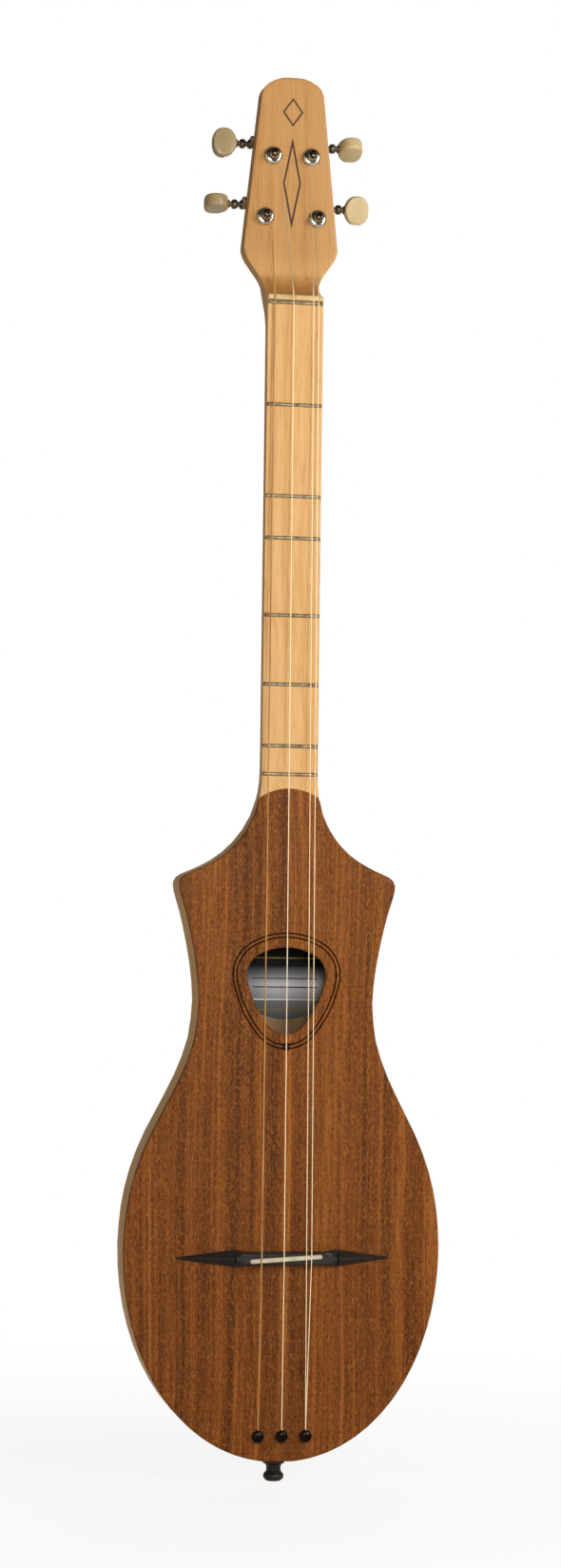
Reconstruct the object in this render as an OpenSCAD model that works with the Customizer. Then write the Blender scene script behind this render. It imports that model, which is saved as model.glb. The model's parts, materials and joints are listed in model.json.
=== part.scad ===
// Stick dulcimer: a fretted, four-string folk instrument cut from one maple plank.
// Millimetres. +Z runs from the tail to the head and the soundboard faces -Y.
// The origin is where the end pin meets the tail, half way through the plank's depth.

/* [Body] */
// Greatest half-width of the body, at the lower bout
bout_half = 102; // [96:1:108]
// Height of the widest line above the tail
bout_z = 135; // [130:1:140]
// Half-width at the waist
waist_half = 56.2; // [53:0.2:60]
// Height of the waist
waist_z = 292; // [286:1:298]
// Half-width at the two horns
horn_half = 70.1; // [66:0.1:74]
// Height of the horns
horn_z = 366; // [362:1:370]
// Thickness of the plank that the body, neck and head are cut from
plank_depth = 40; // [39:0.5:42]
// Radius of the rounded back edge
back_radius = 10; // [7:0.5:11]
// Width of the rim left around the hollow
rim_width = 9; // [8:0.5:11]
// Thickness of the wood left at the back of the hollow
back_thickness = 6; // [5:0.5:8]
// Thickness of the soundboard
top_thickness = 3; // [2.5:0.1:3.4]

/* [Neck and head] */
// Half-width of the neck
neck_half = 18.4; // [18:0.1:20]
// Thickness of the neck
neck_thickness = 23; // [21:0.5:25]
// Backward lean of the neck's face, in degrees
neck_angle = 1.06; // [0.8:0.02:1.3]
// How far the head's face lies behind the soundboard's face
head_drop = 26.5; // [25.5:0.5:27.5]
// Half-width of the head at its shoulders
head_half = 31.6; // [30.5:0.1:33]
// Half-width of the head where its rounded tip starts
tip_half = 21.5; // [20.5:0.1:22.5]
// Length of the head beyond the zero fret
head_length = 152; // [150:0.5:156]

/* [Scale and strings] */
// Open string length, from the zero fret to the nominal bridge line
scale_length = 609.6; // [605:0.1:615]
// Height of the nominal bridge line above the tail
bridge_line_z = 131.7; // [130:0.1:134]
// Diameter of the wound bass string
bass_diameter = 0.66; // [0.5:0.02:0.8]
// Diameter of the plain middle string
middle_diameter = 0.46; // [0.3:0.02:0.5]
// Diameter of the two plain treble strings
treble_diameter = 0.4; // [0.25:0.01:0.45]
// Height of the saddle's crest above the soundboard
saddle_height = 10.2; // [9:0.1:11]

/* [Bridge] */
// Length of the bridge from tip to tip
bridge_span = 137; // [130:1:144]
// Width of the bridge at its two widest points
bridge_width = 10.6; // [10:0.1:12]
// Height of the bridge's middle bar above the soundboard
bridge_height = 6.8; // [6:0.1:7.2]

/* [Tuners] */
// Distance of the upper pair of string posts from the centre line
upper_post_x = 12.7; // [12.4:0.1:13.2]
// Distance of the lower pair of string posts from the centre line
lower_post_x = 17.3; // [16.5:0.1:18]
// Height of the upper pair above the zero fret
upper_post_rise = 100.1; // [99:0.1:102]
// Height of the lower pair above the zero fret
lower_post_rise = 59.8; // [58:0.1:61]
// Teeth on each post's gear, driven by a worm with one thread
gear_teeth = 14; // [14:1:14]
// Centre distance from a post to its worm
worm_distance = 11; // [11:0.1:11.2]
// Distance from a post to the middle of its button
button_reach = 29.8; // [29:0.1:31]

/* [End pin] */
// Radius of the knob that keeps a strap on
pin_knob_r = 6.6; // [6.2:0.1:7]
// Radius of the strap's groove
pin_waist_r = 4.6; // [4.2:0.1:5]
// Length of the end pin below the tail
pin_length = 15; // [14:0.1:16]

/* [Hidden] */
$fn = 48;

// Colours
maple = "#d9b27a";
mahogany = "#7c4524";
spruce = "#e3c893";
cream = "#e9e0c4";
black = "#24211f";
nickel = "#8f8a82";
chrome = "#d6d8da";
bronze = "#b5854a";
steel = "#c9c6be";

// Heights along the instrument
zero_z = bridge_line_z + scale_length;
head_top = zero_z + head_length;
shoulder_end = 432;
neck_start = 425;
tongue_apex = 427.5;
tongue_radius = 33;
end_flat = 0.4;
bout_rise = bout_z + 0.5;

// ---------- Outline ----------

// Share of the way from one width to the next, against the share of the height between them
flank = [[0, 1], [0.15, 0.962], [0.3, 0.852], [0.45, 0.655], [0.6, 0.388], [0.75, 0.153],
         [0.87, 0.037]];
upper_flank = [[0, 0], [0.2, 0.085], [0.4, 0.25], [0.6, 0.47], [0.8, 0.74], [0.93, 0.955],
               [1, 1]];
shoulder = [[0.07, 0.955], [0.115, 0.835], [0.16, 0.705], [0.25, 0.5], [0.38, 0.305],
            [0.56, 0.143], [0.75, 0.045], [1, 0]];

function mix(a, b, t) = a + (b - a) * t;
function span(points, z0, z1, w0, w1) = [for (p = points) [mix(z0, z1, p[0]), mix(w0, w1, p[1])]];

side_points = concat(
    span(flank, bout_z, waist_z, waist_half, bout_half),
    span(upper_flank, waist_z, horn_z, waist_half, horn_half),
    span(shoulder, horn_z, shoulder_end, neck_half, horn_half)
);

// Monotone cubic curve through points sorted by their first value
function rise(p, i) = (p[i + 1][1] - p[i][1]) / (p[i + 1][0] - p[i][0]);
function slope(p, i) =
    i == 0 || i == len(p) - 1 ? 0 :
    rise(p, i - 1) * rise(p, i) <= 0 ? 0 :
    2 * rise(p, i - 1) * rise(p, i) / (rise(p, i - 1) + rise(p, i));
function segment(p, z, i = 0) = i >= len(p) - 2 || z < p[i + 1][0] ? i : segment(p, z, i + 1);
function curve(p, z) =
    let (i = segment(p, z), h = p[i + 1][0] - p[i][0], t = (z - p[i][0]) / h)
    p[i][1] * (2 * pow(t, 3) - 3 * pow(t, 2) + 1)
    + slope(p, i) * h * (pow(t, 3) - 2 * pow(t, 2) + t)
    + p[i + 1][1] * (3 * pow(t, 2) - 2 * pow(t, 3))
    + slope(p, i + 1) * h * (pow(t, 3) - pow(t, 2));
function smooth(z, z0, z1) = z <= z0 ? 0 : z >= z1 ? 1 : 0.5 - 0.5 * cos(180 * (z - z0) / (z1 - z0));
// A quarter round, which is squarer when n is greater than 2
function arch(t, n = 2) = pow(max(0, 1 - pow(abs(t), n)), 1 / n);

flare_start = zero_z + 12;
flare_end = zero_z + 39.5;
tip_rise = 15.3;
tip_squareness = 2.4;
bout_squareness = 2.07;
tip_z = head_top - tip_rise;

function head_side(z) = mix(head_half, tip_half, max(0, z - flare_end) / (tip_z - flare_end));
function half_width(z) =
    z <= bout_z ? bout_half * arch((bout_z - z) / bout_rise, bout_squareness) :
    z <= shoulder_end ? curve(side_points, z) :
    z <= tip_z ? mix(neck_half, head_side(z), smooth(z, flare_start, flare_end)) :
    tip_half * arch((z - tip_z) / (tip_rise + end_flat), tip_squareness);
// Half-width of the same outline with its edge moved in by d all round
function inset_half(z, d) = min([for (a = [-80 : 20 : 80]) half_width(z + d * sin(a)) - d * cos(a)]);

// ---------- Depth of the faces ----------

nut_width = 3.2;
nut_start = zero_z + 1.6;
nut_end = nut_start + nut_width;
cove_start = nut_end + 0.4;
function neck_face(z) = max(0, z - neck_start) * tan(neck_angle);
cove_radius = head_drop - neck_face(cove_start);
function cove(z) = neck_face(cove_start) + cove_radius * arch(1 - (z - cove_start) / cove_radius);
function face_y(z) =
    z <= cove_start ? neck_face(z) :
    z < cove_start + cove_radius ? cove(z) : head_drop;

heel_start = 374;
heel_end = 446;
volute_start = zero_z - 20;
volute_end = zero_z + 24;
function back_y(z) =
    z < volute_start
    ? mix(plank_depth, neck_face(z) + neck_thickness, smooth(z, heel_start, heel_end))
    : mix(neck_face(z) + neck_thickness, plank_depth, smooth(z, volute_start, volute_end));

// Share of a full neck section: 0 in the body and the head, 1 along the neck
function neckness(z) = smooth(z, heel_start, heel_end) * (1 - smooth(z, zero_z - 14, zero_z + 26));
function past_neck(z) = smooth(z, zero_z - 14, zero_z + 26);
head_edge = 2.2;
function edge_in(z) = mix(mix(back_radius, neck_half - 2, neckness(z)), head_edge, past_neck(z));
function edge_deep(z) = mix(mix(back_radius, neck_thickness - 6, neckness(z)), head_edge, past_neck(z));
function front_edge(z) = mix(0.8, 2, smooth(z, cove_start, flare_end));

// ---------- One-piece body ----------

function end_room(z) = min(z + end_flat, head_top + end_flat - z) * 0.98;
function corner_turn(r, z) = acos(1 - min(r, end_room(z)) / r);
front_steps = 2;
back_steps = 6;
function right_side(z) =
    let (rf = front_edge(z), ff = corner_turn(rf, z))
    let (ri = edge_in(z), rd = edge_deep(z), fb = corner_turn(ri, z))
    concat(
        [for (i = [front_steps : -1 : 1])
            let (a = ff * i / front_steps)
            [inset_half(z, rf * (1 - cos(a))), face_y(z) + rf * (1 - sin(a)), z]],
        [for (i = [0 : back_steps])
            let (a = fb * i / back_steps)
            [inset_half(z, ri * (1 - cos(a))), back_y(z) - rd * (1 - sin(a)), z]]
    );
function ring(z) =
    let (r = right_side(z), n = len(r))
    concat(r, [for (i = [n - 1 : -1 : 0]) [-r[i][0], r[i][1], r[i][2]]]);

bottom_turn = acos(bout_z / bout_rise);
stations = concat(
    [for (i = [0 : 15]) bout_z - bout_rise * cos(mix(bottom_turn, 90, i / 15))],
    [for (z = [147 : 12 : 339]) z],
    [348, 356, 361, 364, 366, 368, 370, 372, 374.5, 377.5, 381.5, 386.5, 393, 401, 410, 420],
    [neck_start, 432, 440, heel_end, 530, 620, zero_z - 28, volute_start, zero_z - 14, zero_z - 6, zero_z],
    [for (a = [0 : 11.25 : 90]) cove_start + cove_radius * (1 - cos(a))],
    [for (d = [31, 34, 37, flare_end - zero_z, 45, 70, 95, 120]) zero_z + d],
    [for (a = [0 : 15 : 75]) tip_z + tip_rise * sin(a)],
    [tip_z + tip_rise * 0.985, tip_z + tip_rise * 0.996, head_top]
);

module loft(rings) {
    n = len(rings[0]);
    last = (len(rings) - 1) * n;
    points = [for (r = rings) for (p = r) p];
    sides = [for (k = [0 : len(rings) - 2]) for (i = [0 : n - 1])
        let (a = k * n + i, b = k * n + (i + 1) % n)
        each [[a, a + n, b + n], [a, b + n, b]]];
    caps = [[for (i = [0 : n - 1]) i], [for (i = [n - 1 : -1 : 0]) last + i]];
    polyhedron(points, concat(sides, caps), convexity = 8);
}

// A flat shape drawn in X and Z, thickened from depth y0 to y1
module slab(y0, y1) {
    translate([0, y1, 0])
        rotate([90, 0, 0])
            linear_extrude(y1 - y0)
                children();
}

// A cylinder along Y at (x, z), from depth y0 to y1
module rod_y(x, z, y0, y1, r) {
    translate([x, y1, z])
        rotate([90, 0, 0])
            cylinder(h = y1 - y0, r = r);
}

// A profile of [radius, depth] points turned about a line along Y at (x, z)
module turned_y(x, z, profile) {
    translate([x, 0, z])
        rotate([-90, 0, 0])
            rotate_extrude()
                polygon(profile);
}

// Two crossed slots in a screw head, for a cross-head driver
module cross_recess(width, depth) {
    for (a = [45, 135])
        rotate([0, 0, a])
            translate([-width / 2, -width / 10, -depth])
                cube([width, width / 5, 2 * depth]);
}

module outline(z_list) {
    polygon(concat(
        [for (z = z_list) [half_width(z), z]],
        [for (i = [len(z_list) - 1 : -1 : 0]) [-half_width(z_list[i]), z_list[i]]]
    ));
}

// The area that the soundboard covers, with the arched end of its tongue
module top_area() {
    translate([-150, -10])
        square([300, 410]);
    translate([0, tongue_apex - tongue_radius])
        circle(r = tongue_radius);
}

chamber_start = 46;
chamber_end = 346;
chamber_corner = 10;
chamber_floor = plank_depth - back_thickness;
module chamber_shape() {
    z_list = [for (z = [chamber_start : 12 : chamber_end]) z];
    offset(r = chamber_corner)
        offset(delta = -chamber_corner - rim_width)
            outline(concat([chamber_start - rim_width], z_list, [chamber_end + rim_width]));
}

// Frets
fret_steps = [2, 4, 5, 7, 9, 11, 12];
fret_half = neck_half - 0.5;
fret_crown = 1.2;
fret_width = 2.4;
fret_bevel = 1.2;
tang_width = 0.6;
tang_depth = 1.6;
function fret_z(n) = zero_z - scale_length * (1 - pow(2, -n / 12));

module on_neck(z) {
    translate([0, neck_face(z), z])
        rotate([-neck_angle, 0, 0])
            children();
}

module fret_slot(z) {
    on_neck(z)
        translate([-fret_half, -1, -tang_width / 2])
            cube([2 * fret_half, 1 + tang_depth, tang_width]);
}

// Fret wire: a crown that stands on the neck, with bevelled ends, and a tang in its slot
module fret_wire(z) {
    crown_r = (pow(fret_width / 2, 2) + pow(fret_crown, 2)) / (2 * fret_crown);
    on_neck(z) {
        intersection() {
            translate([-fret_half, crown_r - fret_crown, 0])
                rotate([0, 90, 0])
                    cylinder(h = 2 * fret_half, r = crown_r);
            translate([0, 0, -fret_width])
                linear_extrude(2 * fret_width)
                    polygon([[-fret_half, 0], [fret_half, 0],
                             [fret_half - fret_bevel, -2 * fret_crown],
                             [fret_bevel - fret_half, -2 * fret_crown]]);
        }
        translate([-fret_half, 0, -tang_width / 2])
            cube([2 * fret_half, tang_depth, tang_width]);
    }
}

// ---------- Tuners: bass, middle, inner treble, outer treble ----------

BASS = 0;
MIDDLE = 1;
INNER = 2;
OUTER = 3;
side = [-1, -1, 1, 1];
post_x = [lower_post_x, upper_post_x, upper_post_x, lower_post_x];
post_z = [for (rise = [lower_post_rise, upper_post_rise, upper_post_rise, lower_post_rise]) zero_z + rise];
button_turn = [83, 0, 69, 15];

post_r = 3;
post_waist_r = 2.4;
post_top = head_drop - 10.8;
wrap_start = post_top + 3.4;
wrap_end = wrap_start + 3.6;
run = 0.06;
bushing_tube_r = 4.2;
bushing_tube_end = head_drop + 9;
plate_thickness = 1.2;
worm_y = plank_depth + 5.8;
gear_thickness = 3.2;
gear_y = worm_y - gear_thickness / 2;
gear_bore_r = 2;
gear_screw_r = 1.1;
gear_pitch_r = worm_distance * 0.7;
worm_pitch_r = worm_distance - gear_pitch_r;
thread_pitch = 2 * PI * gear_pitch_r / gear_teeth;
shaft_r = 1.6;
ear_half = 4.2;
outer_ear = 11.5;
inner_ear = -9;
thread_half = 5.6;

// Places a child, drawn for a right-hand tuner about its own post, at tuner t
module at_tuner(t) {
    mirror([side[t] < 0 ? 1 : 0, 0, 0])
        translate([post_x[t], 0, post_z[t]])
            children();
}

module body_neck_and_head() {
    color(maple)
    difference() {
        loft([for (z = stations) ring(z)]);
        slab(-20, top_thickness)
            top_area();
        slab(top_thickness - 1, chamber_floor)
            chamber_shape();
        for (n = concat([0], fret_steps))
            fret_slot(fret_z(n));
        translate([-neck_half - 2, neck_face(nut_start) - 4, nut_start])
            cube([2 * neck_half + 4, 4 + nut_sink, nut_width]);
        for (t = [BASS : OUTER]) {
            at_tuner(t) rod_y(0, 0, head_drop - 5, bushing_tube_end, bushing_tube_r);
            at_tuner(t) rod_y(0, 0, head_drop - 5, plank_depth + 5, post_r + 0.4);
            for (dz = plate_screw_rise)
                at_tuner(t) rod_y(0, dz, plank_depth - plate_screw_depth, plank_depth + 5, plate_screw_r);
        }
        for (x = anchor_x)
            rod_y(x, anchor_z, 0, top_thickness + anchor_depth, anchor_r);
        translate([0, pin_y, -1])
            cylinder(h = pin_screw_depth + 1, r = pin_screw_r);
    }
}

// ---------- Soundboard and what is glued inside ----------

hole_top = 325.8;
hole_arch_r = 36;
hole_side_r = 65;
hole_side_x = 38.6;
hole_side_z = 317.9;
hole_corner_r = 14;

// Sound hole: three arcs with rounded corners, its point towards the tail
module sound_hole() {
    offset(r = hole_corner_r)
        offset(delta = -hole_corner_r)
            intersection() {
                translate([0, hole_top - hole_arch_r])
                    circle(r = hole_arch_r, $fn = 96);
                translate([-hole_side_x, hole_side_z])
                    circle(r = hole_side_r, $fn = 160);
                translate([hole_side_x, hole_side_z])
                    circle(r = hole_side_r, $fn = 160);
            }
}

module soundboard() {
    low = [for (z = stations) if (z < neck_start) z];
    color(mahogany)
    difference() {
        slab(0, top_thickness)
            intersection() {
                outline(concat(low, [neck_start, shoulder_end]));
                top_area();
            }
        slab(-1, top_thickness + 1)
            sound_hole();
        for (x = anchor_x)
            rod_y(x, anchor_z, -1, top_thickness + 1, anchor_r);
    }
}

// A brace across the hollow, thinned towards its ends
module brace(z) {
    reach = half_width(z) - rim_width - 2;
    width = 7;
    height = 9;
    foot = 2.5;
    scoop = 18;
    color(spruce)
        translate([0, top_thickness, z - width / 2])
            linear_extrude(width)
                polygon([[-reach, 0], [reach, 0], [reach, foot], [reach - scoop, height],
                         [scoop - reach, height], [-reach, foot]]);
}

module brace_upper() {
    brace(336);
}

module brace_lower() {
    brace(246);
}

module bridge_plate() {
    color(maple)
        slab(top_thickness, top_thickness + 2.5)
            offset(r = 4)
                translate([-46, bridge_line_z - 21])
                    square([92, 28]);
}

label_radius = 38.5;
label_low = 279;
module label() {
    color("#8d8d90")
        slab(chamber_floor - 0.3, chamber_floor)
            intersection() {
                translate([5, label_low + label_radius])
                    circle(r = label_radius);
                translate([-60, 260])
                    square([120, 82]);
            }
}

// ---------- Bridge, saddle and nut ----------

bridge_z = bridge_line_z - 3;
wing_root = 33.2;
wing_shift = 1.8;
wing_cut = 0.8;
wing_cut_depth = 3;
bar_half = 24.5;
saddle_length = 46.6;
saddle_width = 2.8;
saddle_lean = 3.7;
saddle_sink = 3.4;
saddle_shift = 1;
crest_width = 1.4;
crest_drop = 0.6;

// A thin slice of the bridge at x, with its cross-section given as [z, height] points
module bridge_slice(x, section) {
    translate([x - 0.05, 0, bridge_z])
        rotate([90, 0, 90])
            linear_extrude(0.1)
                polygon([for (p = section) [-p[1], p[0]]]);
}

half_bridge = bridge_width / 2;
root_section = [[-half_bridge, 0], [half_bridge, 0], [half_bridge, 1.5],
                [-1, bridge_height], [-half_bridge, 1.5]];
tip_section = [[-0.5, 0], [0.5, 0], [0.5, 0.4], [0, 0.9], [-0.5, 0.4]];
bar_section = [[-4, 0], [4, 0], [4, bridge_height - 0.9], [3.2, bridge_height],
               [-3.2, bridge_height], [-4, bridge_height - 0.9]];

module saddle_shape(width = saddle_width) {
    translate([saddle_shift, bridge_z])
        rotate(saddle_lean)
            hull()
                for (s = [-1, 1])
                    translate([s * (saddle_length - saddle_width) / 2, 0])
                        circle(d = width);
}

// A bar for the saddle, and a pointed wing beyond a fine cut at each of its ends
module bridge() {
    color(black)
    difference() {
        union() {
            for (s = [-1, 1]) {
                hull() {
                    bridge_slice(s * wing_root + wing_shift, root_section);
                    bridge_slice(s * (bridge_span / 2 - 0.05), tip_section);
                }
                hull() {
                    bridge_slice(s * wing_root + wing_shift, root_section);
                    bridge_slice(s * bar_half + saddle_shift, bar_section);
                }
            }
            hull() {
                bridge_slice(saddle_shift - bar_half, bar_section);
                bridge_slice(saddle_shift + bar_half, bar_section);
            }
        }
        slab(-20, saddle_sink - bridge_height)
            saddle_shape();
        for (s = [-1, 1])
            translate([s * wing_root + wing_shift - wing_cut / 2, -20, bridge_z - bridge_width])
                cube([wing_cut, 20 + wing_cut_depth - bridge_height, 2 * bridge_width]);
    }
}

// The crest narrows so that the strings bend over it without touching its edges
module saddle() {
    color(cream)
        hull() {
            slab(crest_drop - saddle_height, saddle_sink - bridge_height)
                saddle_shape();
            slab(-saddle_height, -bridge_height)
                saddle_shape(crest_width);
        }
}

nut_sink = 2;
nut_height = 1.9;
nut_groove = 0.5;
nut_half = 18;

module nut() {
    color(cream)
    difference() {
        translate([-nut_half, neck_face(nut_start) - nut_height, nut_start])
            cube([2 * nut_half, nut_height + nut_sink, nut_width]);
        for (s = [0 : 3])
            translate([nut_x[s] - string_r[s] - 0.15, neck_face(nut_start) - nut_height - 1, nut_start - 1])
                cube([2 * string_r[s] + 0.3, 1 + nut_height - nut_groove, nut_width + 2]);
    }
}

module zero_fret() {
    color(steel)
        fret_wire(zero_z);
}

module frets() {
    color(steel)
        for (n = fret_steps)
            fret_wire(fret_z(n));
}

// ---------- Strings ----------

string_r = [bass_diameter, middle_diameter, treble_diameter, treble_diameter] / 2;
nut_x = [-14, -1.5, 11.5, 14.8];
saddle_x = [-15.1, -0.7, 13.7, 17];
anchor_of = [0, 1, 2, 2];
loop_y = [-0.5, -0.5, -0.28, -0.82];
lift = 0.03;
saddle_lift = 0.1;

// The eye that hooks round the anchor screw, then the bends at saddle, zero fret, nut and post
eye_open = 25;
function string_path(s) =
    let (r = string_r[s], eye_r = anchor_r + r + run, wrap_r = post_waist_r + r + run)
    let (ax = anchor_x[anchor_of[s]], ay = loop_y[s])
    concat(
        [for (i = [0 : 16])
            let (a = mix(90 + eye_open, 450 - eye_open, i / 16))
            [ax + eye_r * cos(a), ay, anchor_z + eye_r * sin(a)]],
        [
            [ax, ay, anchor_z + 2.4 * eye_r],
            [saddle_x[s], -saddle_height - r - saddle_lift,
             bridge_z + (saddle_x[s] - saddle_shift) * tan(saddle_lean)],
            [nut_x[s], neck_face(zero_z) - fret_crown - r - lift, zero_z],
            [nut_x[s], neck_face(nut_start) - nut_groove - r - lift, nut_end],
            [side[s] * (post_x[s] - wrap_r), wrap_start + r + run, post_z[s]]
        ]
    );

function unit(v) = v / norm(v);
// A string swept along its path as a bar of eight sides
module string(s) {
    path = string_path(s);
    last = len(path) - 1;
    loft([for (i = [0 : last])
        let (along = unit(path[min(i + 1, last)] - path[max(i - 1, 0)]))
        let (across = unit(cross(along, [0, 1, 0])), out = cross(across, along))
        [for (a = [0 : 45 : 315]) path[i] + string_r[s] * (cos(a) * across - sin(a) * out)]]);
}

module string_bass() {
    color(bronze) string(BASS);
}

module string_middle() {
    color(steel) string(MIDDLE);
}

module string_treble_inner() {
    color(steel) string(INNER);
}

module string_treble_outer() {
    color(steel) string(OUTER);
}

// ---------- Screws and end pin ----------

anchor_x = [-14.2, 1.2, 16.6];
anchor_z = 16.2;
anchor_r = 1.6;
anchor_depth = 12;
anchor_head_r = 3.85;
anchor_head_y = -1.2;
anchor_head_height = 2.4;

module anchor_screws() {
    color(black)
    for (x = anchor_x)
        difference() {
            turned_y(x, anchor_z, concat(
                [[0, top_thickness + anchor_depth], [anchor_r, top_thickness + anchor_depth - 3],
                 [anchor_r, anchor_head_y], [anchor_head_r, anchor_head_y]],
                [for (a = [0 : 15 : 90])
                    [anchor_head_r * cos(a), anchor_head_y - anchor_head_height * (0.25 + 0.75 * sin(a))]]
            ));
            translate([x, anchor_head_y - anchor_head_height, anchor_z])
                rotate([90, 0, 0])
                    cross_recess(3.6, 1.3);
        }
}

pin_y = plank_depth / 2;
pin_screw_r = 1.8;
pin_screw_depth = 26;
felt_thickness = 1;
pin_flange_r = 6.9;
pin_flange_end = 3.8;

module end_pin_felt() {
    color("#1c1a19")
    translate([0, pin_y, -felt_thickness])
        difference() {
            cylinder(h = felt_thickness, r = pin_flange_r - 0.4);
            translate([0, 0, -1])
                cylinder(h = felt_thickness + 2, r = pin_screw_r + 0.1);
        }
}

module end_pin() {
    color(black)
    translate([0, pin_y, 0])
        rotate_extrude()
            polygon(concat(
                [[pin_screw_r + 0.1, -felt_thickness], [pin_flange_r, -felt_thickness]],
                [for (a = [0 : 15 : 90])
                    [mix(pin_flange_r, pin_waist_r, sin(a)), -pin_flange_end - 3 * (1 - cos(a))]],
                [[pin_waist_r, 6.4 - pin_length]],
                [for (a = [60 : -20 : -60])
                    [pin_knob_r - 2.3 * (1 - cos(a)), 3 - pin_length + 2.6 * sin(a)]],
                [[4.4, -pin_length], [3.6, -pin_length], [pin_screw_r + 0.1, 1.9 - pin_length]]
            ));
}

module end_pin_screw() {
    color(nickel)
    translate([0, pin_y, 0])
        difference() {
            rotate_extrude()
                polygon([[0, pin_screw_depth], [pin_screw_r, pin_screw_depth - 4],
                         [pin_screw_r, 1.95 - pin_length], [3.4, 0.1 - pin_length],
                         [0, 0.1 - pin_length]]);
            translate([0, 0, 0.1 - pin_length])
                cross_recess(3.8, 1.2);
        }
}

// ---------- Tuner pieces ----------

plate_screw_rise = [-7, 18.5];
plate_screw_r = 1.1;
plate_screw_depth = 8;

module ear(x) {
    translate([x, 0, worm_distance])
        rotate([90, 0, 90])
            linear_extrude(plate_thickness)
                hull() {
                    translate([worm_y, 0])
                        circle(r = ear_half - 0.8, $fn = 32);
                    translate([plank_depth, -ear_half])
                        square([0.5, 2 * ear_half]);
                }
}

module tuner_plate(t) {
    width = 18;
    color(nickel)
    at_tuner(t)
        difference() {
            union() {
                slab(plank_depth, plank_depth + plate_thickness) {
                    translate([-9, -10])
                        offset(r = 3)
                            translate([3, 3])
                                square([width - 6, 26]);
                    translate([inner_ear, worm_distance - ear_half])
                        square([outer_ear + plate_thickness - inner_ear, 2 * ear_half]);
                }
                ear(inner_ear);
                ear(outer_ear);
            }
            rod_y(0, 0, plank_depth - 1, plank_depth + 3, post_r + run);
            translate([inner_ear - 1, worm_y, worm_distance])
                rotate([0, 90, 0])
                    cylinder(h = outer_ear - inner_ear + 4, r = shaft_r + run);
            for (dz = plate_screw_rise)
                rod_y(0, dz, plank_depth - 1, plank_depth + 3, plate_screw_r + 0.1);
        }
}

// Worm thread: a trapezoid swept round the shaft, drawn along Z
module thread() {
    facets = 20;
    turns = 2 * thread_half / thread_pitch;
    count = floor(facets * turns);
    root_r = 2.1;
    tip_r = worm_pitch_r + 0.8;
    section = [[root_r, 0.95], [tip_r, 0.4], [tip_r, -0.4], [root_r, -0.95]];
    loft([for (k = [0 : count])
        let (a = 360 * (k - count / 2) / facets)
        [for (p = section) [p[0] * cos(a), p[0] * sin(a), p[1] + thread_pitch * a / 360]]]);
}

module tuner_worm(t) {
    start = inner_ear - 1;
    core_r = 2.4;
    inner_face = inner_ear + plate_thickness + run;
    collar = outer_ear + plate_thickness + run;
    ferrule = button_reach - button_length / 2;
    bead = 17.4;
    color(nickel)
    at_tuner(t)
        translate([0, worm_y, worm_distance])
            rotate([0, 90, 0]) {
                rotate_extrude()
                    polygon([[0, start], [2.1, start], [2.1, inner_ear - run], [shaft_r, inner_ear - run],
                             [shaft_r, inner_face], [core_r, inner_face],
                             [core_r, outer_ear - run], [shaft_r, outer_ear - run], [shaft_r, collar],
                             [2.9, collar], [2.9, collar + 1], [1.7, collar + 1.4],
                             [1.7, bead - 2], [2.6, bead - 1.8], [3.2, bead - 0.9], [3.2, bead + 0.9],
                             [2.6, bead + 1.8], [1.7, bead + 2],
                             [1.7, ferrule - 1.8], [2.6, ferrule - 1.4], [3, ferrule - 0.1],
                             [shaft_r, ferrule - 0.1], [shaft_r, ferrule + 6], [0, ferrule + 6]]);
                thread();
            }
}

button_length = 15.5;
button_height = 19.2;
button_thickness = 9.4;
button_rounding = 0.16;

module button_layer(y, share) {
    translate([0, y, 0])
        slab(-0.05, 0.05)
            scale([button_length * share / button_height, share])
                circle(d = button_height, $fn = 32);
}

module tuner_button(t) {
    color(cream)
    at_tuner(t)
        translate([button_reach, worm_y, worm_distance])
            rotate([button_turn[t], 0, 0])
                difference() {
                    hull()
                        for (f = [-1, -0.85, -0.5, 0.5, 0.85, 1])
                            button_layer(f * button_thickness / 2, 1 - button_rounding * pow(f, 6));
                    translate([-button_length, 0, 0])
                        rotate([0, 90, 0])
                            cylinder(h = button_length / 2 + 6, r = shaft_r);
                }
}

module tuner_post(t) {
    hole_y = (wrap_start + wrap_end) / 2 + 0.9;
    color(chrome)
    at_tuner(t)
        difference() {
            turned_y(0, 0, [
                [0, post_top], [1.6, post_top], [2.5, post_top + 0.4], [post_r, post_top + 1.2],
                [post_r, wrap_start - 0.4], [post_waist_r, wrap_start], [post_waist_r, wrap_end],
                [post_r, wrap_end + 0.4], [post_r, gear_y], [gear_bore_r, gear_y],
                [gear_bore_r, gear_y + gear_thickness], [0, gear_y + gear_thickness]
            ]);
            translate([-2 * post_r, hole_y, 0])
                rotate([0, 90, 0])
                    cylinder(h = 4 * post_r, r = 0.6, $fn = 24);
            rod_y(0, 0, gear_y + gear_thickness - 5, gear_y + gear_thickness + 1, gear_screw_r);
        }
}

// Gear outline, with a gap between two teeth at its top
module gear_outline() {
    step = 360 / gear_teeth;
    root_r = gear_pitch_r - 1.25;
    tip_r = gear_pitch_r + 0.75;
    polygon([for (i = [0 : gear_teeth - 1])
        let (a = 90 + step * (i + 0.5))
        for (p = [[root_r, -8.6], [tip_r, -2.6], [tip_r, 2.6], [root_r, 8.6]])
            [p[0] * cos(a + p[1]), p[0] * sin(a + p[1])]]);
}

module tuner_gear(t) {
    color(steel)
    at_tuner(t)
        difference() {
            slab(gear_y, gear_y + gear_thickness)
                gear_outline();
            rod_y(0, 0, gear_y - 1, gear_y + gear_thickness + 1, gear_bore_r);
        }
}

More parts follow.
